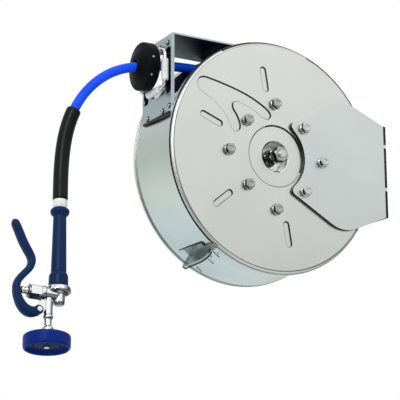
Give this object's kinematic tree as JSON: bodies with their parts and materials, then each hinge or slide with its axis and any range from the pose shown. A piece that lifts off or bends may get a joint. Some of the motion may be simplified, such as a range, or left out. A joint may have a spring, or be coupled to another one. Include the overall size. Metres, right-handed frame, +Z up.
{
  "type": "wall-mounted spring-rewound hose reel",
  "caption": "Enclosed round hose reel on a wall bracket, with guide rollers, hose stop, hanging blue hose and squeeze-lever spray valve.",
  "frame": {"origin": "on the wall plate's wall face, level with the axle, midway between the two side plates", "axes": "+X into the wall, +Z up, the axle along Y with the bolted front cover facing -Y, the hose leaving towards -X"},
  "size_m": [0.6814, 0.183, 0.557],
  "materials": {
    "stainless": "satin stainless sheet",
    "band": "brushed stainless sheet",
    "zinc": "zinc plated",
    "dark_steel": "dark oiled steel",
    "chrome": "polished chrome plate",
    "brass": "machined",
    "black_rubber": "matte",
    "white_plastic": "matte",
    "hose_blue": "smooth satin",
    "navy_plastic": "satin",
    "head_blue": "gloss"
  },
  "bodies": {
    "reel_frame": {"front_cover": "stainless", "case_band": "band", "rear_cover": "stainless", "front_side_plate": "stainless", "rear_side_plate": "stainless", "wall_plate": "stainless", "front_bolt_000": "zinc", "front_bolt_045": "zinc", "front_bolt_090": "zinc", "front_bolt_135": "zinc", "front_bolt_180": "zinc", "front_bolt_225": "zinc", "front_bolt_270": "zinc", "front_bolt_315": "zinc", "rear_bolt_000": "zinc", "rear_bolt_045": "zinc", "rear_bolt_315": "zinc", "rim_bracket": "stainless", "rim_clip": "stainless", "guide_arm": "stainless", "slot_backing_front": "black_rubber", "slot_backing_back": "black_rubber", "roller_rod_bent": "zinc", "roller_rod_straight": "zinc", "spring_arbor": "zinc", "arbor_clamp_nut": "zinc", "arbor_tension_nut": "zinc", "arbor_lock_nut": "zinc", "pawl_pin": "zinc", "swivel_inlet": "brass", "hose": "hose_blue", "hose_guard": "black_rubber", "hose_stop_upper": "black_rubber", "hose_stop_lower": "black_rubber", "hose_ferrule": "zinc", "hand_grip": "navy_plastic", "valve_body": "chrome", "valve_bonnet": "chrome", "lever_pin": "chrome", "spray_head": "head_blue", "spray_face": "head_blue"},
    "drum": {"drum_core": "band", "drum_flange_front": "band", "drum_flange_rear": "band", "hose_coil": "hose_blue", "spring_canister": "dark_steel", "power_spring": "dark_steel", "front_bush": "brass", "swivel_stem": "brass", "ratchet_wheel": "dark_steel"},
    "pawl": {"pawl": "dark_steel"},
    "roller_front": {"guide_roller_front": "white_plastic"},
    "roller_back": {"guide_roller_back": "white_plastic"},
    "roller_bottom": {"guide_roller_bottom": "white_plastic"},
    "roller_top": {"guide_roller_top": "white_plastic"},
    "lever": {"squeeze_lever": "navy_plastic"},
    "plunger": {"valve_plunger": "chrome"}
  },
  "joints": [
    {"name": "drum_spin", "type": "hinge", "parent": "reel_frame", "child": "drum", "pos_m": [-0.229, 0, 0], "axis": [0, 1, 0], "continuous": true},
    {"name": "pawl_swing", "type": "hinge", "parent": "reel_frame", "child": "pawl", "pos_m": [-0.2906, -0.048, -0.0788], "axis": [0, 1, 0], "range_deg": [-36, 0]},
    {"name": "roller_front_spin", "type": "hinge", "parent": "reel_frame", "child": "roller_front", "pos_m": [-0.4305, -0.0434, 0.12625], "axis": [0, 0, 1], "continuous": true},
    {"name": "roller_back_spin", "type": "hinge", "parent": "reel_frame", "child": "roller_back", "pos_m": [-0.4305, 0.0346, 0.12625], "axis": [0, 0, 1], "continuous": true},
    {"name": "roller_bottom_spin", "type": "hinge", "parent": "reel_frame", "child": "roller_bottom", "pos_m": [-0.4305, -0.0069, 0.097], "axis": [0, 1, 0], "continuous": true},
    {"name": "roller_top_spin", "type": "hinge", "parent": "reel_frame", "child": "roller_top", "pos_m": [-0.4305, -0.0069, 0.163], "axis": [0, 1, 0], "continuous": true},
    {"name": "lever_squeeze", "type": "hinge", "parent": "reel_frame", "child": "lever", "pos_m": [-0.6428, -0.03914, -0.28841], "axis": [-0.0061, 0.9859, -0.1674], "range_deg": [0, 12], "stiffness_Nm_per_rad": 1.5, "springref_deg": -8.59},
    {"name": "plunger_push", "type": "slide", "parent": "reel_frame", "child": "plunger", "axis": [0.9974, -0.0061, -0.072], "range_m": [0, 0.0067]}
  ],
  "couplings": [
    {"joint": "plunger_push", "follows": "lever_squeeze", "m_per_rad": 0.0316}
  ]
}
